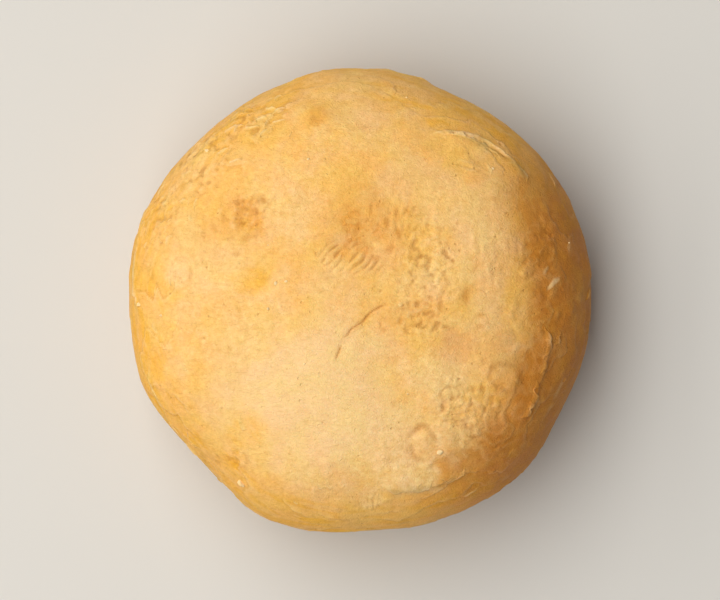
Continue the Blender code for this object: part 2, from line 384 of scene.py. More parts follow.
class CrustSettings(bpy.types.PropertyGroup):
    """Sizes and colours of the baked crust"""

    first_cuts: count_setting("First cuts", "Cuts across each side of the block, first time", 10, 4, 11)
    second_cuts: count_setting("Second cuts", "Cuts across each quad, second time", 8, 4, 10)
    divided: count_setting(
        "Divided faces", "Faces that are divided once more, where the relief is finest", 11500, 0, 14000)
    smoothing: count_setting("Smoothing", "Passes that soften the facets of the solid", 14, 0, 40)
    crack_depth: length_setting("Crack depth", "Depth added to the crack of the top", 0.22)
    blister_height: length_setting("Blister height", "Height of the tallest small blister", 0.11)
    pinhole_depth: length_setting("Pinhole depth", "Depth of the deepest pinhole", 0.14)
    layer_height: length_setting(
        "Layer height", "Height of the ledges where thin layers of dough end", 0.11)
    seal_depth: length_setting("Seal depth", "Depth of the pleated seal under the base", 0.28)
    cream: colour_setting("Cream", "Pale dough that the heat barely coloured", (0.90, 0.620, 0.285))
    # Golden also colours the painted warm bounce light round the shoulders.
    golden: colour_setting(
        "Golden", "Oily golden dough of the shoulders and the side", (0.90, 0.480, 0.040))
    # Toasted also colours the painted shade on the side away from the key light.
    toasted_and_shaded: colour_setting("Toasted", "Tan patches that lay on the hot tray", (0.74, 0.295, 0.030))
    papery: colour_setting("Papery", "Dry whitish skin", (0.93, 0.670, 0.325))
    # Rust also colours the painted shade on the side away from the key light.
    rust: colour_setting(
        "Rust", "Small brown dots and strokes inside toasted patches", (0.56, 0.215, 0.025))
    # Colour of the painted shade in cracks, pinholes, pits and troughs.
    crevice_shade: colour_setting("Crevice", "Brown inside cracks and pinholes", (0.42, 0.160, 0.025))


class SkinSettings(bpy.types.PropertyGroup):
    """Sizes of the lifted sheets of skin"""

    thickness: length_setting("Thickness", "Thickness of the papery skin", 0.08)
    reach: length_setting("Reach", "How far back from its torn edge the longest sheet is loose", 1.7)
    lift: length_setting("Lift", "How far the loosest torn edge stands off the crust", 0.30)
    scales: count_setting("Scales", "Small loose scales of skin on the shoulders and the side", 96, 0, 200)


class CrumbSettings(bpy.types.PropertyGroup):
    """Sizes and colour of the crumbs"""

    count: count_setting("Crumbs", "Crumbs scattered over the crust", 12, 0, 200)
    size: length_setting("Size", "Half the length of the largest scattered crumb", 0.26)
    colour: colour_setting("Colour", "Pale crumb colour", (0.90, 0.66, 0.33))


class StageSettings(bpy.types.PropertyGroup):
    """Floor, lights and camera"""

    floor_colour: colour_setting("Floor colour", "Plain pale floor", (0.66, 0.64, 0.60))
    key_power: bpy.props.FloatProperty(
        name="Key light", description="Power of the large soft light at the left",
        default=2.40, unit="POWER")
    fill_power: bpy.props.FloatProperty(
        name="Fill light", description="Power of the soft light high above",
        default=7.6, unit="POWER")
    sky: bpy.props.FloatProperty(
        name="Sky", description="Strength of the even light from all round",
        default=0.14, min=0.0)
    lens: bpy.props.FloatProperty(
        name="Lens", description="Focal length of the camera in millimetres",
        default=300.0, unit="CAMERA")
    filling: bpy.props.FloatProperty(
        name="Filling", description="Share of the picture's height that the pastry takes",
        default=0.77, min=0.1, max=1.0, subtype="FACTOR")


# Reading and writing meshes


def make_active(obj):
    bpy.ops.object.select_all(action="DESELECT")
    obj.select_set(True)
    bpy.context.view_layer.objects.active = obj


def new_object(name, data):
    obj = bpy.data.objects.new(name, data)
    bpy.context.scene.collection.objects.link(obj)
    return obj


def edit(operator, **values):
    """Runs one operator of edit mode on what is selected of the active mesh."""
    bpy.ops.object.mode_set(mode="EDIT")
    operator(**values)
    bpy.ops.object.mode_set(mode="OBJECT")


def edit_all(operator, **values):
    """Selects all of the active mesh and runs one operator of edit mode on it."""
    edit(bpy.ops.mesh.select_all, action="SELECT")
    edit(operator, **values)


def read_rows(items, name):
    """The three numbers that each item keeps under a name."""
    values = np.empty(len(items) * 3, np.float32)
    items.foreach_get(name, values)
    return values.reshape(-1, 3).astype(float)


def coordinates(mesh):
    return read_rows(mesh.vertices, "co")


def set_coordinates(mesh, points):
    mesh.vertices.foreach_set("co", points.astype(np.float32).ravel())
    mesh.update()


def set_masks(mesh, masks):
    """Keeps values from 0 to 1 at each vertex, for the material to read."""
    for name, values in masks.items():
        mask = mesh.attributes.new(name, "FLOAT", "POINT")
        mask.data.foreach_set("value", np.clip(values, 0.0, 1.0).astype(np.float32))


def apply_modifier(obj, kind, **values):
    make_active(obj)
    bpy.ops.object.modifier_add(type=kind)
    modifier = obj.modifiers[-1]
    for name, value in values.items():
        setattr(modifier, name, value)
    bpy.ops.object.modifier_apply(modifier=modifier.name)


def join_all(pieces, name):
    """Joins pieces into one object of that name, whose place is in its mesh."""
    make_active(pieces[0])
    for piece in pieces:
        piece.select_set(True)
    bpy.ops.object.transform_apply()
    bpy.ops.object.join()
    joined = bpy.context.object
    joined.name = joined.data.name = name
    return joined


def keep_in_box(mesh):
    """Presses flat what stands past the solid's box."""
    set_coordinates(mesh, np.clip(coordinates(mesh), SOLID_LOW, SOLID_HIGH))


def finish_surface(piece, material):
    make_active(piece)
    bpy.ops.object.shade_smooth()
    piece.data.materials.append(material)


# The profile and places on it


def profile():
    """Distance down the profile, lean from upright, radius and height, as four arrays."""
    lean = np.linspace(0.0, math.pi, PROFILE_STEPS + 1)
    across = np.clip(np.sin(lean), 0.0, None)
    up = np.cos(lean)
    half_height = np.where(up >= 0, TOP_RISE, BASE_DROP)
    reach = (across**PROFILE_POWER + np.abs(up) ** PROFILE_POWER) ** (-1 / PROFILE_POWER)
    radius = RADIUS * across * reach
    height = EQUATOR_HEIGHT + half_height * up * reach
    steps = np.hypot(np.diff(radius), np.diff(height))
    return np.concatenate([[0.0], np.cumsum(steps)]), lean, radius, height


DOWNS, LEANS, RADII, HEIGHTS = profile()


def on_profile(angle, down):
    """Points and outward normals of the plain turned form, from directions in degrees and distances down."""
    turn = np.radians(angle)
    radius = np.interp(down, DOWNS, RADII)
    height = np.interp(down, DOWNS, HEIGHTS)
    run = np.interp(down, DOWNS, np.gradient(RADII, DOWNS))
    drop = np.interp(down, DOWNS, np.gradient(HEIGHTS, DOWNS))
    points = np.column_stack([radius * np.cos(turn), radius * np.sin(turn), height])
    normals = np.column_stack([-drop * np.cos(turn), -drop * np.sin(turn), run])
    return points, normals / np.linalg.norm(normals, axis=1)[:, None]


def down_and_angle(points):
    """How far down the profile each point lies, and its direction in degrees."""
    radius = np.hypot(points[:, 0], points[:, 1])
    rise = points[:, 2] - EQUATOR_HEIGHT
    half_height = np.where(rise >= 0, TOP_RISE, BASE_DROP)
    lean = np.arctan2(radius / RADIUS, rise / half_height)
    angle = np.degrees(np.arctan2(points[:, 1], points[:, 0]))
    return np.interp(lean, LEANS, DOWNS), angle


def around(angle, middle):
    """How far angle is from middle, both in degrees, the short way round."""
    return (angle - middle + 180.0) % 360.0 - 180.0


def smoothed(share):
    share = np.clip(share, 0.0, 1.0)
    return share * share * (3.0 - 2.0 * share)


def fade(distance, reach):
    """1 at no distance, falling smoothly to 0 at reach."""
    return smoothed(1.0 - np.abs(distance) / reach)


def ramp(value, zero, one):
    """0 at one value and 1 at another, smooth between them and level past them. Either may be the larger."""
    return smoothed((value - zero) / (one - zero))


def noise_at(points, wavelength, offset=0.0):
    """Smooth noise from -1 to 1 at each point, other noise for another offset."""
    return np.array([noise.noise(Vector(point)) for point in points / wavelength + offset])


def along_skin(angle, down, wavelength_round, wavelength_down, offset):
    """Noise drawn out round the pastry, as its thin layers are."""
    turn = np.radians(angle)
    stretched = np.column_stack([
        RADIUS * np.cos(turn) / wavelength_round,
        RADIUS * np.sin(turn) / wavelength_round,
        down / wavelength_down,
    ])
    return noise_at(stretched, 1.0, offset)


def spots(points, places, raggedness=0.32, ragged_length=1.7 * MM):
    """The strongest of some oval patches with uneven borders, seen from above."""
    uneven = raggedness * noise_at(points, ragged_length, 5.3)
    uneven += 0.5 * raggedness * noise_at(points, 0.4 * ragged_length, 1.3)
    value = np.zeros(len(points))
    for x, y, half_width, half_depth, strength in places:
        distance = np.hypot((points[:, 0] - x) / half_width, (points[:, 1] - y) / half_depth)
        value = np.maximum(value, strength * ramp(distance + uneven, 1.0, 0.3))
    return value * ramp(points[:, 2], 14.0 * MM, 18.0 * MM)


def wandered(points):
    """The places from above, moved a little to and fro so that lines through them wander."""
    across = noise_at(points, 1.1 * MM, 3.9)
    along = noise_at(points, 1.1 * MM, 8.3)
    return points[:, :2] + 0.20 * MM * np.column_stack([across, along])


def stroke(places, uneven, path, half_width):
    """How much of a crack or lip along a path each place has, from 0 to 1. It narrows at both ends."""
    steps = [math.dist(start, end) for start, end in zip(path, path[1:])]
    nearest = np.full(len(places), np.inf)
    share = np.zeros(len(places))
    passed = 0.0
    for start, end, step in zip(path, path[1:], steps):
        run = np.array(end) - start
        away = places - start
        along = np.clip(away @ run / step**2, 0.0, 1.0)
        distance = np.hypot(*(away - along[:, None] * run).T)
        share = np.where(distance < nearest, (passed + along * step) / sum(steps), share)
        nearest = np.minimum(nearest, distance)
        passed += step
    width = half_width * np.sqrt(np.sin(math.pi * share) + 0.02) * (0.75 + 0.35 * uneven)
    return fade(nearest / width, 1.0) * ramp(share, -0.02, 0.20) * ramp(share, 1.02, 0.80)


def along_and_across(places, x, y, degrees):
    """How far each place is from (x, y), along a direction and across it."""
    turn = math.radians(degrees)
    away_x, away_y = places[:, 0] - x, places[:, 1] - y
    along = away_x * math.cos(turn) + away_y * math.sin(turn)
    return along, away_y * math.cos(turn) - away_x * math.sin(turn)


def marks(places, table):
    """The strongest of some short strokes at each place."""
    value = np.zeros(len(places))
    for x, y, degrees, half_length, half_width, strength in table:
        along, across = along_and_across(places, x, y, degrees)
        out = np.hypot(along / half_length, across / half_width)
        value = np.maximum(value, strength * ramp(out, 1.15, 0.30))
    return value


def ringed_spots(places, broad, uneven):
    """The domes and the creases of the ringed spots."""
    domes = np.zeros(len(places))
    creases = np.zeros(len(places))
    for x, y, radius in RINGED_SPOTS:
        away = places - (x, y)
        bulge = 0.16 * np.sin(2.0 * np.arctan2(away[:, 1], away[:, 0]) + x / MM)
        out = np.hypot(away[:, 0], away[:, 1]) / radius + bulge + 0.24 * broad + 0.08 * uneven
        domes = np.maximum(domes, fade(np.clip(out, 0.0, None), 0.95))
        creases = np.maximum(creases, fade(out - 1.0, 0.30) * ramp(broad, -0.50, 0.15))
    return domes, creases


# The baked crust


def block_of_quads(settings):
    """A cube that is divided evenly in edit mode."""
    bpy.ops.mesh.primitive_cube_add(size=2.0)
    block = bpy.context.object
    block.name = block.data.name = "baked_crust"
    edit_all(bpy.ops.mesh.subdivide, number_cuts=settings.first_cuts)
    edit_all(bpy.ops.mesh.subdivide, number_cuts=settings.second_cuts)
    return block


def lay_on_profile(mesh):
    """Rounds the block to a ball of even quads and lays it on the profile, closer on top than below."""
    ball = np.tan(coordinates(mesh) * math.pi / 4)
    ball /= np.linalg.norm(ball, axis=1)[:, None]
    density = np.interp(HEIGHTS, DENSITY_HEIGHTS, DENSITIES)
    rings = (RADII * density)[1:] * np.diff(DOWNS)
    share = np.concatenate([[0.0], np.cumsum(rings)]) / rings.sum()
    down = np.interp((1.0 - ball[:, 2]) / 2.0, share, DOWNS)
    angle = np.degrees(np.arctan2(ball[:, 1], ball[:, 0]))
    points, _ = on_profile(angle, down)
    points[:, 2] = np.maximum(points[:, 2], 0.0)
    set_coordinates(mesh, points)


def merged_solid():
    """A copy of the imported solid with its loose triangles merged."""
    solid = new_object("solid_form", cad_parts["pastry"].data.copy())
    make_active(solid)
    edit_all(bpy.ops.mesh.remove_doubles, threshold=0.001 * MM)
    return solid


def draw_onto_solid(crust, settings):
    """Brings every vertex onto the solid, then softens the solid's facets."""
    solid = merged_solid()
    apply_modifier(crust, "SHRINKWRAP", target=solid, wrap_method="NEAREST_SURFACEPOINT")
    bpy.data.meshes.remove(solid.data)
    apply_modifier(crust, "SMOOTH", factor=0.5, iterations=settings.smoothing)


def divide_detail(crust, settings):
    """Divides once more the faces across which the fine relief changes most."""
    mesh = crust.data
    relief, _, _ = shape_detail(coordinates(mesh), settings)
    corners = np.empty(len(mesh.loops), np.int32)
    mesh.loops.foreach_get("vertex_index", corners)
    corners = corners.reshape(-1, 4)
    change = np.ptp(relief[corners], axis=1)
    beside = np.zeros(len(relief))
    np.maximum.at(beside, corners.ravel(), np.repeat(change, 4))
    change = beside[corners].mean(axis=1)
    chosen = change > np.sort(change)[-settings.divided - 1]
    bpy.context.tool_settings.mesh_select_mode = (False, False, True)
    make_active(crust)
    edit(bpy.ops.mesh.select_all, action="DESELECT")
    mesh.polygons.foreach_set("select", chosen)
    edit(bpy.ops.mesh.subdivide, number_cuts=1)


def skin_edge_down(edge, angle, ragged):
    """How far down the profile a torn edge runs at each direction."""
    first, last, down_first, down_last, _ = edge
    offset = around(angle, (first + last) / 2)
    along = np.clip(offset / (last - first) + 0.5, 0.0, 1.0)
    return down_first + (down_last - down_first) * along + ragged


def skin_steps(points, angle, down):
    """Sharpens the drop past each torn edge."""
    ragged = SKIN_RAGGED * noise_at(points, SKIN_RAGGED_LENGTH)
    relief = np.zeros(len(points))
    for edge in SKIN_EDGES:
        first, last, _, _, lift = edge
        before = skin_edge_down(edge, angle, ragged) - down
        rise = np.exp(-np.clip(before, 0.0, None) / SKIN_RISE) * (before >= 0)
        drop = np.clip(1.0 + before / SKIN_STEP, 0.0, 1.0) * (before < 0)
        off_middle = np.abs(around(angle, (first + last) / 2))
        ends = np.clip((abs(last - first) / 2 - off_middle) / SKIN_END_FADE, 0.0, 1.0)
        relief += SKIN_SHARPENING * lift * (rise + drop) * ends
    return relief


def wrinkles(points):
    relief = np.zeros(len(points))
    wobble = 0.50 * noise_at(points, 2.2 * MM, 2.7)
    broken = 0.2 + 0.8 * ramp(noise_at(points, 1.2 * MM, 7.1), -0.35, 0.15)
    stagger = 1.9 * MM * noise_at(points, 1.5 * MM, 4.6)
    for x, y, degrees, half_length, half_band, spacing, height in WRINKLES:
        along, across = along_and_across(points, x, y, degrees)
        waves = np.cos(math.tau * (across / spacing + wobble))
        relief += height * waves * broken * fade(along + stagger, half_length) * fade(across, half_band)
    return relief * (points[:, 2] > EQUATOR_HEIGHT)


def swirls(points, down):
    """Waves from -1 to 1 that follow the rim and wander."""
    field = down / (3.4 * MM) + 2.1 * noise_at(points, 3.6 * MM, 6.8)
    field += 0.30 * noise_at(points, 1.2 * MM, 2.2)
    return np.cos(math.tau * field)


def small_blisters(points, draw, settings):
    """Height of the low domes, closest together on the right and lower shoulder."""
    relief = np.zeros(len(points))
    for number in range(BLISTERS):
        if number < SHOULDER_BLISTERS:
            angle, down = draw.uniform(-85, 25), draw.uniform(14.0, 29.0) * MM
        else:
            angle, down = draw.uniform(0, 360), math.sqrt(draw.uniform(0.02, 1.0)) * 46.0 * MM
        radius = (0.45 + 0.75 * draw.random() ** 1.8) * MM
        height = settings.blister_height * draw.uniform(0.25, 1.0) * min(1.0, radius / (0.8 * MM))
        place, _ = on_profile(np.array([angle]), np.array([down]))
        distance = np.linalg.norm(points - place, axis=1)
        relief = np.maximum(relief, height * fade(distance, radius))
    return relief


def pinholes(points, draw):
    """Depth of the pinholes at each point, as a share of the deepest."""
    value = np.zeros(len(points))
    for number in range(PINHOLES):
        bubbly = number < BUBBLY_PINHOLES
        if bubbly:
            x, y, half_width, half_depth, _ = BUBBLY_ZONES[number % PINHOLE_ZONES]
            x += half_width * draw.uniform(-0.9, 0.9)
            y += half_depth * draw.uniform(-0.9, 0.9)
        else:
            turn, out = draw.uniform(0, math.tau), math.sqrt(draw.random()) * 27.0 * MM
            x, y = out * math.cos(turn), out * math.sin(turn)
        radius = draw.uniform(0.20, 0.36) * MM
        depth = draw.uniform(0.25, 1.0) * (1.0 if bubbly else 0.4)
        distance = np.hypot(points[:, 0] - x, points[:, 1] - y)
        value = np.maximum(value, depth * fade(distance, radius))
    return value * (points[:, 2] > EQUATOR_HEIGHT)


def ledges(points, angle, down, cream):
    """How far along its ledge each point is, a chance tone for each ledge, and how much the ledges show."""
    field = (
        np.clip(down - LEDGE_START, 0.0, None) / LEDGE_SPACING
        + 1.9 * noise_at(points, 10.0 * MM, 11.3)
        + 0.50 * along_skin(angle, down, 3.6 * MM, 2.2 * MM, 4.9)
        + 0.16 * noise_at(points, 0.9 * MM, 7.7)
    )
    number = np.floor(field)
    tone = np.modf(np.abs(np.sin(number * 12.9898)) * 437.585)[0]
    comes_and_goes = ramp(noise_at(points, 4.5 * MM, 9.6), -0.35, 0.30)
    side = ramp(down, 18.0 * MM, 27.0 * MM)
    shown = (0.16 + 0.84 * side) * (0.25 + 0.75 * comes_and_goes) * (1.0 - 0.8 * cream)
    return field - number, tone, shown * ramp(down, 49.0 * MM, 45.0 * MM)


def seal(points, angle):
    """Pleats under the base that turn towards a gathered middle, as a share of their full depth."""
    out = np.hypot(points[:, 0], points[:, 1])
    swirl = np.radians(angle) * 9 + out / (1.6 * MM) + 1.2 * noise_at(points, 4.0 * MM, 3.3)
    pleats = ramp(np.abs(np.sin(swirl / 2)), 0.55, 0.0) * ramp(out, 12.5 * MM, 4.0 * MM)
    below = ramp(points[:, 2], 0.8 * MM, 0.2 * MM)
    return below * np.maximum(pleats, fade(out, 1.8 * MM))


def shape_detail(points, settings):
    """Height of the fine relief at each point, the depth of the seal, and the masks for the material."""
    down, angle = down_and_angle(points)
    draw = random.Random(SEED)
    masks = colour_masks(points, down, angle)
    cream = masks["cream"]
    above = ramp(points[:, 2], 15.0 * MM, 19.0 * MM)
    places = wandered(points)
    uneven = noise_at(points, 0.8 * MM, 1.2)
    leather = noise_at(points, 2.4 * MM, 6.2)
    crack = above * np.maximum.reduce([stroke(places, uneven, *each) for each in CRACKS])
    scorched = above * np.maximum.reduce([
        stroke(places, uneven, path, 5.0 * width) for path, width in CRACKS
    ])
    dark = above * marks(places, DARK_MARKS)
    pale = above * marks(places, PALE_MARKS)
    lip = above * stroke(places, uneven, PALE_LIP, 0.60 * MM)
    domes, creases = (above * value for value in ringed_spots(places, leather, uneven))
    folds = wrinkles(points)
    bubbly = spots(points, BUBBLY_ZONES)
    swirled = spots(points, SWIRLED_ZONES)
    swirl = swirls(points, down)
    lumps = noise_at(points, 0.80 * MM, 3.1) + 0.45 * noise_at(points, 0.42 * MM, 5.7)
    bubbles = ramp(lumps, 0.02, 0.50)
    pits = ramp(-lumps, 0.10, 0.55)
    blister = small_blisters(points, draw, settings)
    pinhole = pinholes(points, draw) * (1.0 - 0.95 * cream)
    ledge, tone, shown = ledges(points, angle, down, cream)
    groove = seal(points, angle) * settings.seal_depth
    grain = noise_at(points, 0.9 * MM) + 0.55 * noise_at(points, 0.45 * MM, 1.9)

    relief = (
        skin_steps(points, angle, down)
        + folds
        + SWIRL_HEIGHT * swirled * swirl
        + blister
        + settings.layer_height * shown * ledge**1.5 * ramp(ledge, 1.0, 0.96)
        + bubbly * (BUBBLE_HEIGHT * bubbles - PIT_DEPTH * pits)
        + DOME_HEIGHT * domes
        - CREASE_DEPTH * creases
        - DARK_MARK_DEPTH * dark
        + PALE_MARK_HEIGHT * pale
        + LIP_HEIGHT * lip
        + (0.031 - 0.013 * cream) * MM * grain
        + (0.060 - 0.030 * cream) * MM * leather
        - settings.crack_depth * crack
        - settings.pinhole_depth * pinhole
    )
    # Painted shade under the ledges
    shade_under_ledge = shown * fade(ledge, 0.10)
    # Painted shade: the crust is darker in cracks, pinholes, pits, fold troughs, creases, the seal's pleats
    # and under the ledges.
    masks["crevice_shade"] = np.maximum.reduce([
        crack * 0.62, pinhole * 0.4, bubbly * pits * 0.52, shade_under_ledge * 0.28,
        groove / settings.seal_depth * 0.4, 0.56 * ramp(-folds, 0.01 * MM, 0.08 * MM),
        0.44 * creases, 0.12 * swirled * ramp(-swirl, 0.2, 1.0),
    ])
    masks["raised"] = np.maximum.reduce([
        blister / settings.blister_height * 0.8, bubbly * bubbles, 0.3 * domes,
        0.8 * ramp(folds, 0.02 * MM, 0.09 * MM), 0.8 * swirled * ramp(swirl, 0.2, 1.0),
    ])
    masks["rim"] = shown * ramp(ledge, 0.80, 0.97)
    masks["tone"] = shown * tone
    masks["specks"] = 0.9 * dark
    masks["pale"] = pale
    masks["toasted_and_shaded"] = np.maximum(masks["toasted_and_shaded"], 0.45 * scorched)
    return relief, groove, masks


def fine_relief(crust, settings):
    """Shapes the fine relief on the crust and keeps its masks for the material."""
    mesh = crust.data
    points = coordinates(mesh)
    relief, groove, masks = shape_detail(points, settings)
    points = points + read_rows(mesh.vertex_normals, "vector") * relief[:, None]
    points[:, 2] = np.maximum(points[:, 2], 0.0) + groove
    set_coordinates(mesh, np.clip(points, SOLID_LOW, SOLID_HIGH))
    set_masks(mesh, masks)


def colour_masks(points, down, angle):
    """Where the crust is toasted, browned, oily, dry or cream, each from 0 to 1.
    The browned and toasted masks also hold painted shade on the side away from the key light, the oily mask
    painted warm bounce light round the shoulders, and the dry mask a painted highlight along the lip.
    """
    slow = noise_at(points, 6.5 * MM, 4.4)
    base = ramp(points[:, 2], 2.6 * MM, 0.3 * MM)
    side = ramp(down, 21.0 * MM, 30.0 * MM) * (1.0 - base)
    border = down + 1.1 * MM * slow + 0.5 * MM * noise_at(points, 1.6 * MM, 8.8)
    # Partly real browning and partly painted shade: the side away from the key light is made browner.
    browned_and_shaded = ramp(border, 19.6 * MM, 24.2 * MM) * (1.0 - base)
    browned_and_shaded *= ramp(np.abs(around(angle, BROWNED_AND_SHADED_SIDE)), 72.0, 26.0)
    # The golden band round the shoulders is partly oily dough and partly painted warm bounce light.
    oily_and_bounce_light = np.maximum(spots(points, OILY), (0.74 + 0.22 * slow) * ramp(down, 21.0 * MM, 29.5 * MM))
    # The pale colour along the lip is partly dry skin and partly a painted highlight of the lifted edge.
    lip = 0.80 * stroke(points[:, :2], slow, PALE_LIP, 0.62 * MM) * (points[:, 2] > EQUATOR_HEIGHT)
    toasted_and_shaded = spots(points, TOASTED_AND_SHADED)
    dry = spots(points, DRY) * (1.0 - toasted_and_shaded)
    return {
        # Toasted patches and the toasted base, with painted shade on the side away from the key light
        "toasted_and_shaded": np.maximum.reduce([
            toasted_and_shaded, base * (0.72 + 0.25 * slow), (0.16 * side + 0.80 * browned_and_shaded) * (1.0 + 0.4 * slow),
        ]),
        "browned_and_shaded": np.maximum(browned_and_shaded * (1.0 + 0.4 * slow), 0.42 * base * (1.0 + 0.9 * slow)),
        "oily_and_bounce_light": oily_and_bounce_light * (1.0 - 0.5 * base),
        "dry": np.maximum.reduce([dry, 0.25 * side * ramp(slow, 0.1, 0.6) * (1.0 - 0.9 * browned_and_shaded), lip]),
        "cream": spots(points, CREAM_REGION, raggedness=0.2, ragged_length=5.0 * MM),
    }


# Lifted skin


def surface_tree(obj):
    graph = bpy.context.evaluated_depsgraph_get()
    return BVHTree.FromObject(obj, graph)


def place_on(tree, points):
    """The nearest place on a surface to each point."""
    return np.array([tree.find_nearest(Vector(point))[0] for point in points])


def skin_sheet(tree, angles, downs, reach, lift, draw, settings):
    """A thin sheet from a root in the crust to a ragged torn edge that stands off it here and there."""
    length = RADIUS * math.radians(abs(angles[1] - angles[0]))
    columns = max(6, round(length / SHEET_SPACING))
    bpy.ops.mesh.primitive_grid_add(x_subdivisions=columns, y_subdivisions=SHEET_ROWS, size=2.0)
    sheet = bpy.context.object
    grid = (coordinates(sheet.data)[:, :2] + 1.0) / 2.0
    along, across = grid[:, 0], grid[:, 1]
    angle = angles[0] + (angles[1] - angles[0]) * along
    edge = downs[0] + (downs[1] - downs[0]) * along
    offset = draw.uniform(0.0, 50.0)
    where, _ = on_profile(angle, edge)
    torn = 0.42 * noise_at(where, 1.9 * MM, offset) + 0.30 * noise_at(where, 0.75 * MM, offset)
    notches = 0.45 * ramp(noise_at(where, 1.3 * MM, offset + 4.0), 0.15, 0.40)
    ends = ramp(np.minimum(along, 1.0 - along), 0.0, 0.20)
    loose = reach * ends * np.clip(0.80 + torn - notches, 0.06, 1.3)
    down = edge - reach * 0.65 + loose * across
    plain, normals = on_profile(angle, down)
    curl = ramp(noise_at(where, 2.6 * MM, offset + 9.0), -0.35, 0.45)
    rise = across**1.6 * lift * ends * (0.15 + 0.85 * curl) - 0.07 * MM * (1.0 - across) ** 2
    ripple = 0.03 * MM * noise_at(plain, 0.8 * MM, offset) * across
    surface = place_on(tree, plain)
    set_coordinates(sheet.data, surface + normals * (rise + ripple)[:, None])
    set_masks(sheet.data, {"loose": across * ends * (0.45 + 0.55 * curl)})
    apply_modifier(sheet, "SOLIDIFY", thickness=settings.thickness, offset=0.0)
    return sheet


def edge_sheets(tree, draw, settings):
    """Sheets of skin along the torn edges, each edge broken into a few."""
    sheets = []
    for edge in SKIN_EDGES:
        first, last, _, _, lift = edge
        sign = 1 if last > first else -1
        at = first + sign * draw.uniform(0.5, 2.0)
        while abs(last - at) > 4.0 and (last - at) * sign > 0:
            span = sign * min(abs(last - at), draw.uniform(7.0, 19.0))
            ends = np.array([at, at + span])
            middle, _ = on_profile(ends, skin_edge_down(edge, ends, 0.0))
            ragged = SKIN_RAGGED * noise_at(middle, SKIN_RAGGED_LENGTH)
            downs = skin_edge_down(edge, ends, ragged) + 0.20 * MM
            reach = settings.reach * draw.uniform(0.4, 1.0)
            height = settings.lift * draw.uniform(0.35, 1.0) * lift / TALLEST_LIFT
            sheets.append(skin_sheet(tree, ends, downs, reach, height, draw, settings))
            at += span + sign * draw.uniform(0.5, 3.0)
    return sheets


def loose_scales(tree, draw, settings):
    """Small scales of skin on the shoulders and the side, many of them at the upper left rim."""
    scales = []
    for number in range(settings.scales):
        if number % 2 == 0:
            angle, down = draw.uniform(112, 166), draw.uniform(24.0, 33.0) * MM
        else:
            angle, down = draw.uniform(0, 360), draw.uniform(21.0, 44.0) * MM
        span = draw.uniform(1.4, 5.5)
        slope = draw.uniform(-0.5, 0.5) * MM
        ends = np.array([angle - span / 2, angle + span / 2])
        downs = np.array([down - slope, down + slope])
        reach = draw.uniform(0.35, 0.95) * MM
        height = settings.lift * draw.uniform(0.15, 0.6)
        scales.append(skin_sheet(tree, ends, downs, reach, height, draw, settings))
    return scales


# Crumbs


def crumb(name, size, seed):
    """One uneven crumb: a ball whose surface is pushed about by noise, then flattened to a flake."""
    bpy.ops.mesh.primitive_ico_sphere_add(subdivisions=3, radius=size)
    piece = bpy.context.object
    piece.name = name
    points = coordinates(piece.data)
    push = 0.80 * noise_at(points, size * 1.2, seed * 3.1) + 0.30 * noise_at(points, size * 0.5, seed * 1.7)
    points *= (1.0 + push)[:, None] * np.array([1.0, 0.75, 0.38])
    set_coordinates(piece.data, points)
    return piece


def crumb_places(draw, settings):
    """(point above the crust, size) of each crumb: the named ones, then a scatter."""
    places = [(Vector((x, y, SOLID_HIGH.z)), size) for x, y, size in NAMED_CRUMBS]
    for _ in range(settings.count):
        turn = draw.uniform(0, math.tau)
        out = math.sqrt(draw.uniform(0.05, 1.0)) * 27.5 * MM
        place = Vector((out * math.cos(turn), out * math.sin(turn), SOLID_HIGH.z))
        places.append((place, settings.size * (0.4 + 0.6 * draw.random() ** 2)))
    return places


def lay_crumbs(tree, draw, settings):
    """Crumbs dropped straight down onto the crust, each sunk a little into it."""
    crumbs = []
    models = [crumb(f"crumb_model_{number}", 1.0 * MM, number + 1) for number in range(CRUMB_MODELS)]
    for number, (above, size) in enumerate(crumb_places(draw, settings)):
        place, normal, _, _ = tree.ray_cast(above + Vector((0, 0, 1 * MM)), Vector((0, 0, -1)))
        if place is None:
            continue
        model = models[number % len(models)]
        piece = new_object(f"crumb_{number}", model.data.copy())
        turned = Euler((draw.uniform(-0.4, 0.4), draw.uniform(-0.4, 0.4), draw.uniform(0, 6.28)))
        piece.rotation_euler = turned
        piece.scale = (size / MM,) * 3
        piece.location = place + normal * size * 0.15
        crumbs.append(piece)
    for model in models:
        bpy.data.objects.remove(model)
    return crumbs


# Shader nodes


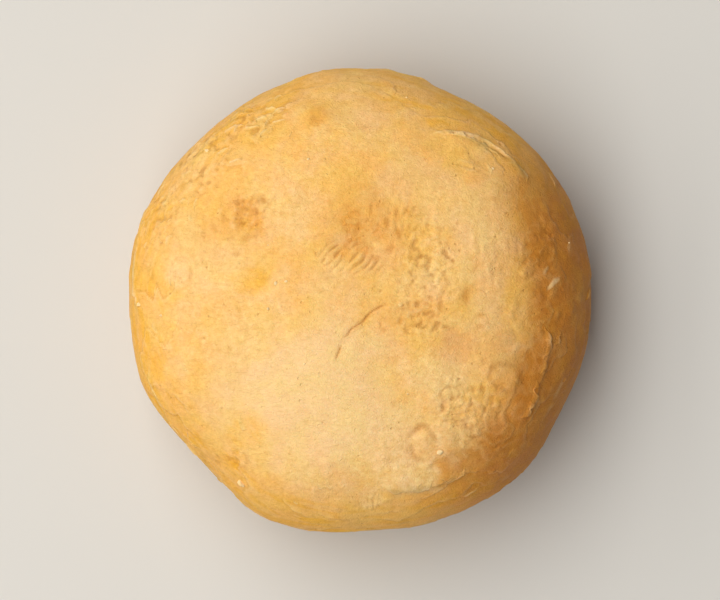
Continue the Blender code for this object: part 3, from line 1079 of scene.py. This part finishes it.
class Nodes:
    """Adds nodes to a shader tree. A value is a number, a colour or the socket that it comes from."""

    def __init__(self, tree):
        self.tree = tree

    def plug(self, node, values):
        for name, value in values.items():
            if isinstance(value, bpy.types.NodeSocket):
                self.tree.links.new(value, node.inputs[name])
            else:
                node.inputs[name].default_value = value

    def add(self, kind, values, **settings):
        node = self.tree.nodes.new("ShaderNode" + kind)
        for name, value in settings.items():
            setattr(node, name, value)
        self.plug(node, values)
        return node

    def maths(self, operation, first, second=0.0, third=0.0, clamp=False):
        values = {0: first, 1: second, 2: third}
        return self.add("Math", values, operation=operation, use_clamp=clamp).outputs[0]

    def times(self, first, second, clamp=False):
        return self.maths("MULTIPLY", first, second, clamp=clamp)

    def most(self, first, second):
        return self.maths("MAXIMUM", first, second)

    def blend(self, factor, below, above, kind="MIX"):
        values = {0: factor, 6: below, 7: above}
        return self.add("Mix", values, data_type="RGBA", blend_type=kind).outputs[2]

    def tinted(self, colour, by):
        return self.blend(1.0, colour, by, "MULTIPLY")

    def ramp(self, value, low, high, to_low=0.0, to_high=1.0):
        values = {0: value, 1: low, 2: high, 3: to_low, 4: to_high}
        return self.add("MapRange", values, interpolation_type="SMOOTHSTEP").outputs[0]

    def eased(self, value, to_low, to_high):
        return self.ramp(value, 0.0, 1.0, to_low, to_high)

    def noise(self, place, wavelength, detail=2.0, roughness=0.5, distortion=0.0):
        return self.add("TexNoise", {
            "Vector": place, "Scale": 1.0 / wavelength, "Detail": detail,
            "Roughness": roughness, "Distortion": distortion,
        }).outputs[0]

    def moved(self, place, scale=(1.0, 1.0, 1.0), shift=(0.0, 0.0, 0.0)):
        return self.add("Mapping", {"Vector": place, "Location": shift, "Scale": scale}).outputs[0]

    def mask(self, name):
        return self.add("Attribute", {}, attribute_name=name).outputs["Fac"]

    def bump(self, height, distance, strength):
        values = {"Height": height, "Distance": distance, "Strength": strength}
        return self.add("Bump", values).outputs["Normal"]

    def group(self, build, values):
        """A node group, which its function builds the first time that it is called for."""
        tree = bpy.data.node_groups.get(build.__name__) or build()
        return self.add("Group", values, node_tree=tree).outputs


def opaque(colour):
    return (*colour, 1.0)


def start_group(name, *inputs):
    """An empty shader group that takes in a place and these values."""
    tree = bpy.data.node_groups.new(name, "ShaderNodeTree")
    tree.interface.new_socket(name="Place", in_out="INPUT", socket_type="NodeSocketVector")
    for each in inputs:
        tree.interface.new_socket(name=each, in_out="INPUT", socket_type="NodeSocketFloat")
    return Nodes(tree), tree.nodes.new("NodeGroupInput").outputs


def end_group(nodes, outputs):
    """The group, which puts out these values."""
    for name in outputs:
        nodes.tree.interface.new_socket(name=name, in_out="OUTPUT", socket_type="NodeSocketFloat")
    nodes.plug(nodes.tree.nodes.new("NodeGroupOutput"), outputs)
    return nodes.tree


def dough_grain():
    """Speckle and height of fine dough: flour grain, crinkled skin and open pores."""
    nodes, given = start_group("dough_grain", "Size")
    values = {0: given["Place"], "Scale": nodes.maths("DIVIDE", 1.0, given["Size"])}
    place = nodes.add("VectorMath", values, operation="SCALE").outputs[0]
    flour = nodes.noise(place, 0.26 * MM, detail=4.0, roughness=0.66)
    stretched = nodes.moved(place, scale=(1.0, 1.35, 1.0))
    crinkle = nodes.noise(stretched, 0.55 * MM, detail=3.0, distortion=0.9)
    folds = nodes.maths("ABSOLUTE", nodes.maths("SUBTRACT", crinkle, 0.5))
    few = nodes.noise(place, 2.6 * MM, detail=1.0)
    cells = nodes.add("TexVoronoi", {"Vector": place, "Scale": 1.0 / (1.15 * MM)})
    dots = nodes.ramp(cells.outputs["Distance"], 0.16, 0.05)
    pores = nodes.times(dots, nodes.ramp(few, 0.50, 0.62))
    height = nodes.maths("ADD", nodes.times(flour, 0.35), nodes.times(folds, 2.0))
    return end_group(nodes, {
        "Speckle": nodes.maths("ADD", nodes.times(flour, 0.5), nodes.times(crinkle, 0.5)),
        "Pores": pores,
        "Height": nodes.maths("SUBTRACT", height, nodes.times(pores, 0.8)),
    })


def baked_mottle():
    """Patches of uneven baking, each from 0 to 1: broad, blotchy, fine, streaky, stippled, and pinker."""
    nodes, given = start_group("baked_mottle")
    place = given["Place"]
    broad = nodes.noise(place, 9.0 * MM, detail=5.0, roughness=0.6)
    blotches = nodes.noise(place, 2.3 * MM, detail=5.0, roughness=0.70, distortion=0.7)
    fine = nodes.noise(place, 0.80 * MM, detail=4.0, roughness=0.68)
    streaks = nodes.noise(nodes.moved(place, scale=(1.0, 1.0, 5.5)), 5.0 * MM, detail=3.0, distortion=0.4)
    dashes = nodes.noise(nodes.moved(place, scale=(1.0, 0.55, 1.0)), 0.62 * MM, distortion=0.5)
    hue = nodes.noise(nodes.moved(place, shift=(0.031, 0.017, 0.0)), 3.6 * MM, detail=3.0, roughness=0.55)
    return end_group(nodes, {
        "Broad": nodes.ramp(broad, 0.35, 0.65),
        "Blotches": nodes.ramp(blotches, 0.36, 0.64),
        "Fine": nodes.ramp(fine, 0.30, 0.70),
        "Streaks": nodes.ramp(streaks, 0.38, 0.66),
        "Stipple": nodes.ramp(dashes, 0.50, 0.64),
        "Hue": nodes.ramp(hue, 0.34, 0.66),
    })


def start_material(name):
    """A material with its nodes, its shader and the object's own coordinates."""
    material = bpy.data.materials.new(name)
    material.use_nodes = True
    nodes = Nodes(material.node_tree)
    place = nodes.add("TexCoord", {}).outputs["Object"]
    return material, nodes, material.node_tree.nodes["Principled BSDF"], place


def crust_colour(nodes, grain, mottle, colours):
    """Cream dough, golden where oily and as painted warm bounce light round the shoulders, tan to rust where
    toasted and as painted shade on the side away from the key light, whitish where dry and as a painted
    highlight along the lip, and darker as painted shade in its cracks and pits.
    """
    maths, times, most, blend = nodes.maths, nodes.times, nodes.most, nodes.blend
    ramp, eased, mask, tinted = nodes.ramp, nodes.eased, nodes.mask, nodes.tinted
    blotches, fine = mottle["Blotches"], mottle["Fine"]
    papery, rust = opaque(colours.papery), opaque(colours.rust)

    # Oily and toasted dough, with painted warm bounce light round the shoulders and painted shade on the
    # side away from the key light
    plain = maths("SUBTRACT", 1.0, mask("cream"))
    oily_and_bounce_light = times(mask("oily_and_bounce_light"), eased(mottle["Streaks"], 0.70, 1.05))
    warm = times(eased(mottle["Broad"], 0.22, 0.56), plain)
    golden = maths("MULTIPLY_ADD", mask("tone"), 0.16, most(oily_and_bounce_light, warm), clamp=True)
    colour = blend(golden, opaque(colours.cream), opaque(colours.golden))
    patchy = times(eased(blotches, 0.55, 1.0), eased(fine, 0.80, 1.05))
    toasted_and_shaded = times(mask("toasted_and_shaded"), patchy, clamp=True)
    faint = times(ramp(blotches, 0.40, 1.0, 0.0, 0.20), plain)
    colour = blend(most(toasted_and_shaded, faint), colour, opaque(colours.toasted_and_shaded))
    stipple = times(mottle["Stipple"], ramp(mask("toasted_and_shaded"), 0.15, 0.9, 0.0, 0.42))
    # Partly real browning and partly painted shade: rust on the side away from the key light.
    deep_brown_and_shade = times(mask("browned_and_shaded"), eased(blotches, 0.66, 1.0))
    colour = blend(most(stipple, deep_brown_and_shade), colour, rust)

    # Dry skin with a painted highlight along the lip, edges of ledges, loose skin and pale strokes
    colour = blend(times(mask("dry"), eased(fine, 0.70, 1.0)), colour, papery)
    edges = times(most(mask("rim"), times(mask("raised"), 0.9)), eased(mask("browned_and_shaded"), 0.34, 0.18))
    colour = blend(edges, colour, papery)
    loose = most(times(mask("loose"), eased(mask("browned_and_shaded"), 1.0, 0.6)), mask("pale"))
    colour = blend(ramp(loose, 0.15, 0.95, 0.0, 0.75), colour, papery)

    # Speckle and a shift of hue, then pores, dots, and painted shade in cracks, pits and troughs
    light = maths("MULTIPLY_ADD", fine, 0.38, times(blotches, 0.28))
    light = maths("MULTIPLY_ADD", ramp(grain["Speckle"], 0.36, 0.64), 0.34, light)
    light = maths("MULTIPLY_ADD", maths("SUBTRACT", light, 0.5), eased(plain, 0.45, 1.0), 0.5)
    colour = tinted(colour, blend(light, (0.85, 0.75, 0.61, 1.0), (1.10, 1.10, 1.14, 1.0)))
    colour = tinted(colour, blend(mottle["Hue"], (0.995, 1.014, 0.93, 1.0), (1.008, 0.982, 1.03, 1.0)))
    pores = times(grain["Pores"], eased(plain, 0.06, 0.34))
    colour = blend(most(pores, times(mask("specks"), 0.66)), colour, rust)
    # Painted shade in cracks, pinholes, pits, troughs and under the ledges
    return blend(mask("crevice_shade"), colour, opaque(colours.crevice_shade))


def crust_material(colours):
    material, nodes, shader, place = start_material("baked_crust")
    grain = nodes.group(dough_grain, {"Place": place, "Size": 1.0})
    mottle = nodes.group(baked_mottle, {"Place": place})
    roughness = nodes.eased(mottle["Blotches"], 0.78, 0.64)
    nodes.plug(shader, {
        "Base Color": crust_colour(nodes, grain, mottle, colours),
        "Roughness": nodes.maths("SUBTRACT", roughness, nodes.times(nodes.mask("oily_and_bounce_light"), 0.12)),
        "Normal": nodes.bump(grain["Height"], 0.10 * MM, 1.0),
        "Specular IOR Level": 0.22,
        "Subsurface Weight": 0.12,
        "Subsurface Radius": (1.0, 0.5, 0.2),
        "Subsurface Scale": 0.8 * MM,
    })
    return material


def crumb_material(colour, colours):
    material, nodes, shader, place = start_material("crumb")
    grain = nodes.group(dough_grain, {"Place": place, "Size": 0.6})
    golden = nodes.ramp(nodes.noise(place, 1.4 * MM), 0.45, 0.7, 0.0, 0.6)
    baked = nodes.blend(golden, opaque(colour), opaque(colours.golden))
    nodes.plug(shader, {
        "Base Color": nodes.tinted(baked, nodes.ramp(grain["Speckle"], 0.3, 0.7, 0.90, 1.06)),
        "Roughness": nodes.ramp(grain["Speckle"], 0.3, 0.7, 0.85, 0.72),
        "Normal": nodes.bump(grain["Height"], 0.03 * MM, 0.5),
        "Specular IOR Level": 0.3,
    })
    return material


def floor_material(colour):
    material, nodes, shader, place = start_material("pale_floor")
    cloudy = nodes.ramp(nodes.noise(place, 0.35, detail=1.0), 0.3, 0.7, 0.985, 1.0)
    nodes.plug(shader, {
        "Base Color": nodes.tinted(opaque(colour), cloudy),
        "Roughness": 0.85,
        "Specular IOR Level": 0.2,
    })
    return material


# The studio


def aim(obj, target):
    """Turns a light or the camera at a point, with +Y up in the picture."""
    away = (obj.location - target).normalized()
    right = Vector((0, 1, 0)).cross(away).normalized()
    up = away.cross(right)
    obj.rotation_mode = "QUATERNION"
    obj.rotation_quaternion = Matrix((right, up, away)).transposed().to_quaternion()


def soft_light(name, place, size, power, colour, target):
    """An oval light: size is its width and its length along Y."""
    bpy.ops.object.light_add(type="AREA", location=place)
    light = bpy.context.object
    light.name = light.data.name = name
    light.data.shape = "ELLIPSE"
    light.data.size, light.data.size_y = size
    light.data.energy = power
    light.data.color = colour
    aim(light, target)


def set_sky(strength):
    world = bpy.data.worlds.new("studio_sky")
    world.use_nodes = True
    background = world.node_tree.nodes["Background"]
    background.inputs["Color"].default_value = (1.0, 0.98, 0.95, 1.0)
    background.inputs["Strength"].default_value = strength
    bpy.context.scene.world = world


def set_camera(settings, target):
    """Straight above, as the photograph was taken."""
    data = bpy.data.cameras.new("camera")
    data.lens = settings.lens
    data.sensor_width = SENSOR_WIDTH
    shown_height = 2 * RADIUS / settings.filling
    shown_width = shown_height * PICTURE_WIDTH / PICTURE_HEIGHT
    distance = shown_width * data.lens / data.sensor_width
    camera = new_object("camera", data)
    camera.location = target + Vector((0.0, 0.0, distance))
    data.clip_start = 0.01
    data.clip_end = 20.0
    aim(camera, target)
    bpy.context.scene.camera = camera


# Operators and panel


class PASTRY_OT_crust(bpy.types.Operator):
    """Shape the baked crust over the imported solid"""

    bl_idname = "pastry.crust"
    bl_label = "Baked Crust"

    def execute(self, context):
        settings = context.scene.pastry_crust
        crust = block_of_quads(settings)
        lay_on_profile(crust.data)
        draw_onto_solid(crust, settings)
        divide_detail(crust, settings)
        fine_relief(crust, settings)
        finish_surface(crust, crust_material(settings))
        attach(crust, "root")
        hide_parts("pastry")
        return {"FINISHED"}


class PASTRY_OT_skin(bpy.types.Operator):
    """Lift thin sheets of skin at the torn edges of the crust"""

    bl_idname = "pastry.skin"
    bl_label = "Lifted Skin"

    def execute(self, context):
        settings = context.scene.pastry_skin
        tree = surface_tree(bpy.data.objects["baked_crust"])
        draw = random.Random(SEED + 1)
        sheets = edge_sheets(tree, draw, settings) + loose_scales(tree, draw, settings)
        skin = join_all(sheets, "lifted_skin")
        keep_in_box(skin.data)
        points = coordinates(skin.data)
        set_masks(skin.data, colour_masks(points, *down_and_angle(points)))
        finish_surface(skin, bpy.data.materials["baked_crust"])
        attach(skin, "root")
        return {"FINISHED"}


class PASTRY_OT_crumbs(bpy.types.Operator):
    """Scatter small crumbs over the crust"""

    bl_idname = "pastry.crumbs"
    bl_label = "Crumbs"

    def execute(self, context):
        settings = context.scene.pastry_crumbs
        tree = surface_tree(bpy.data.objects["baked_crust"])
        draw = random.Random(SEED + 2)
        crumbs = join_all(lay_crumbs(tree, draw, settings), "crumbs")
        keep_in_box(crumbs.data)
        finish_surface(crumbs, crumb_material(settings.colour, context.scene.pastry_crust))
        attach(crumbs, "root")
        return {"FINISHED"}


class PASTRY_OT_stage(bpy.types.Operator):
    """Set the pale floor, the soft lights and the camera"""

    bl_idname = "pastry.stage"
    bl_label = "Studio"

    def execute(self, context):
        settings = context.scene.pastry_stage
        bpy.ops.mesh.primitive_plane_add(size=6.0, location=(0.0, 0.0, -0.01 * MM))
        floor = bpy.context.object
        floor.name = floor.data.name = "floor"
        bpy.ops.object.transform_apply()
        floor.data.materials.append(floor_material(settings.floor_colour))
        middle = Vector((0.0, 0.0, EQUATOR_HEIGHT))
        soft_light("key", (-0.44, 0.10, 0.45), (0.22, 1.60), settings.key_power, (1.0, 0.97, 0.93), middle)
        soft_light("fill", (-0.22, 0.03, 0.77), (0.42, 2.10), settings.fill_power, (1.0, 0.99, 0.97), middle)
        set_sky(settings.sky)
        set_camera(settings, middle)
        context.scene.view_settings.view_transform = "Standard"
        return {"FINISHED"}


class PASTRY_PT_panel(bpy.types.Panel):
    """Lists the pastry's pieces and what can be changed"""

    bl_label = "Pine Nut Pastry"
    bl_idname = "PASTRY_PT_panel"
    bl_space_type = "VIEW_3D"
    bl_region_type = "UI"
    bl_category = "Pastry"

    def draw(self, context):
        scene = context.scene
        for operator, settings in (
            (PASTRY_OT_crust, scene.pastry_crust),
            (PASTRY_OT_skin, scene.pastry_skin),
            (PASTRY_OT_crumbs, scene.pastry_crumbs),
            (PASTRY_OT_stage, scene.pastry_stage),
        ):
            box = self.layout.box()
            box.operator(operator.bl_idname)
            for name in settings.__annotations__:
                box.prop(settings, name)


SETTINGS = {
    "pastry_crust": CrustSettings,
    "pastry_skin": SkinSettings,
    "pastry_crumbs": CrumbSettings,
    "pastry_stage": StageSettings,
}
CLASSES = (
    *SETTINGS.values(),
    PASTRY_OT_crust,
    PASTRY_OT_skin,
    PASTRY_OT_crumbs,
    PASTRY_OT_stage,
    PASTRY_PT_panel,
)


def register():
    for each in CLASSES:
        bpy.utils.register_class(each)
    for name, group in SETTINGS.items():
        setattr(bpy.types.Scene, name, bpy.props.PointerProperty(type=group))


def unregister():
    for name in SETTINGS:
        delattr(bpy.types.Scene, name)
    for each in reversed(CLASSES):
        bpy.utils.unregister_class(each)


def main():
    register()
    bpy.ops.pastry.crust()
    bpy.ops.pastry.skin()
    bpy.ops.pastry.crumbs()
    bpy.ops.pastry.stage()


if __name__ == "__main__":
    main()
